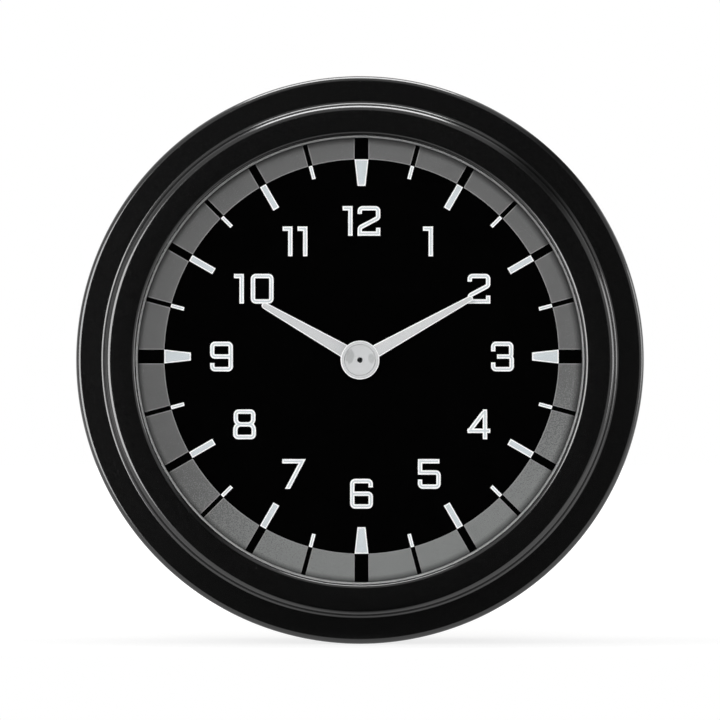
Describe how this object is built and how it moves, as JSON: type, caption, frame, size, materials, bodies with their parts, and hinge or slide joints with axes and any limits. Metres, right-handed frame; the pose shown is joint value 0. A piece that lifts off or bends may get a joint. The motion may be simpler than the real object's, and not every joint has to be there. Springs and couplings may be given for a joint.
{
  "type": "dashboard clock",
  "caption": "Round dashboard clock: stepped black bezel, flat glass, printed dial and hands, geared quartz movement in a barrel case, with rear clamp, terminals, lamp and setting knob.",
  "frame": {"origin": "on the axis of the hands, in the plane where the back of the bezel seats on the panel", "axes": "+Y runs back through the case, the dial faces -Y, twelve o'clock is +Z and three o'clock is +X"},
  "size_m": [0.0604, 0.0488, 0.0604],
  "materials": {
    "bezel_black": "satin black paint",
    "glass": "clear",
    "seal_rubber": "matte",
    "spacer_grey": "matte",
    "dial_black": "matte printed",
    "hand_paint": "satin white paint",
    "case_black": "moulded",
    "plate_plastic": "moulded",
    "brass": "turned",
    "steel": "turned",
    "zinc_steel": "zinc plated",
    "magnet": "ground",
    "soft_iron": "stamped",
    "bobbin_plastic": "moulded",
    "copper_wire": "enamelled",
    "board_laminate": "solder resist",
    "can_metal": "drawn",
    "chip_black": "moulded",
    "capacitor_blue": "sleeved",
    "knob_black": "moulded",
    "holder_black": "moulded",
    "bulb_glass": "clear"
  },
  "bodies": {
    "clock_body": {"bezel": "bezel_black", "lens": "glass", "lens_gasket": "seal_rubber", "spacer_ring": "spacer_grey", "dial": "dial_black", "case": "case_black", "flange_ring": "case_black", "front_plate": "plate_plastic", "rear_plate": "brass", "plate_pillars": "brass", "board_spacers": "brass", "movement_screws": "steel", "stator": "soft_iron", "coil_core": "soft_iron", "coil_bobbin": "bobbin_plastic", "coil_winding": "copper_wire", "circuit_board": "board_laminate", "quartz_crystal": "can_metal", "driver_chip": "chip_black", "capacitor": "capacitor_blue", "contact_springs": "brass", "mounting_studs": "zinc_steel", "terminal_studs": "brass", "terminal_washers": "zinc_steel", "terminal_nuts": "brass"},
    "minute_hand": {"minute_hand": "hand_paint", "minute_arbor": "steel", "centre_wheel": "brass"},
    "hour_hand": {"hour_hand": "hand_paint", "hour_wheel": "brass"},
    "minute_wheel": {"minute_wheel": "brass"},
    "setting": {"setting_shaft": "steel", "setting_knob": "knob_black"},
    "intermediate_wheel": {"intermediate_wheel": "brass", "intermediate_arbor": "steel"},
    "rotor": {"rotor_arbor": "steel", "rotor_magnet": "magnet"},
    "clamp": {"clamp_bracket": "zinc_steel", "clamp_washers": "zinc_steel", "thumb_nuts": "brass"},
    "lamp": {"lamp_holder": "holder_black", "lamp_blades": "brass", "lamp_bulb": "bulb_glass"}
  },
  "joints": [
    {"name": "minute_turn", "type": "hinge", "parent": "clock_body", "child": "minute_hand", "pos_m": [0, 0, 0], "axis": [0, 1, 0], "continuous": true},
    {"name": "hour_turn", "type": "hinge", "parent": "clock_body", "child": "hour_hand", "pos_m": [0, 0, 0], "axis": [0, 1, 0], "continuous": true},
    {"name": "minute_wheel_turn", "type": "hinge", "parent": "clock_body", "child": "minute_wheel", "pos_m": [-0.0036, 0, -0.00825], "axis": [0, 1, 0], "continuous": true},
    {"name": "setting_turn", "type": "hinge", "parent": "clock_body", "child": "setting", "pos_m": [0, 0, -0.01649], "axis": [0, 1, 0], "continuous": true},
    {"name": "intermediate_turn", "type": "hinge", "parent": "clock_body", "child": "intermediate_wheel", "pos_m": [0.00846, 0, 0.00308], "axis": [0, 1, 0], "continuous": true},
    {"name": "rotor_turn", "type": "hinge", "parent": "clock_body", "child": "rotor", "pos_m": [0.0122, 0, -0.0034], "axis": [0, 1, 0], "continuous": true},
    {"name": "clamp_slide", "type": "slide", "parent": "clock_body", "child": "clamp", "axis": [0, 1, 0], "range_m": [-0.002, 0.06]},
    {"name": "lamp_twist", "type": "hinge", "parent": "clock_body", "child": "lamp", "pos_m": [0, 0, 0.0156], "axis": [0, 1, 0], "range_deg": [0, 60]}
  ],
  "couplings": [
    {"joint": "hour_turn", "follows": "minute_turn", "ratio": 0.083333},
    {"joint": "minute_wheel_turn", "follows": "minute_turn", "ratio": -0.33333},
    {"joint": "setting_turn", "follows": "minute_turn", "ratio": 1},
    {"joint": "intermediate_turn", "follows": "minute_turn", "ratio": -8},
    {"joint": "rotor_turn", "follows": "minute_turn", "ratio": 60}
  ]
}
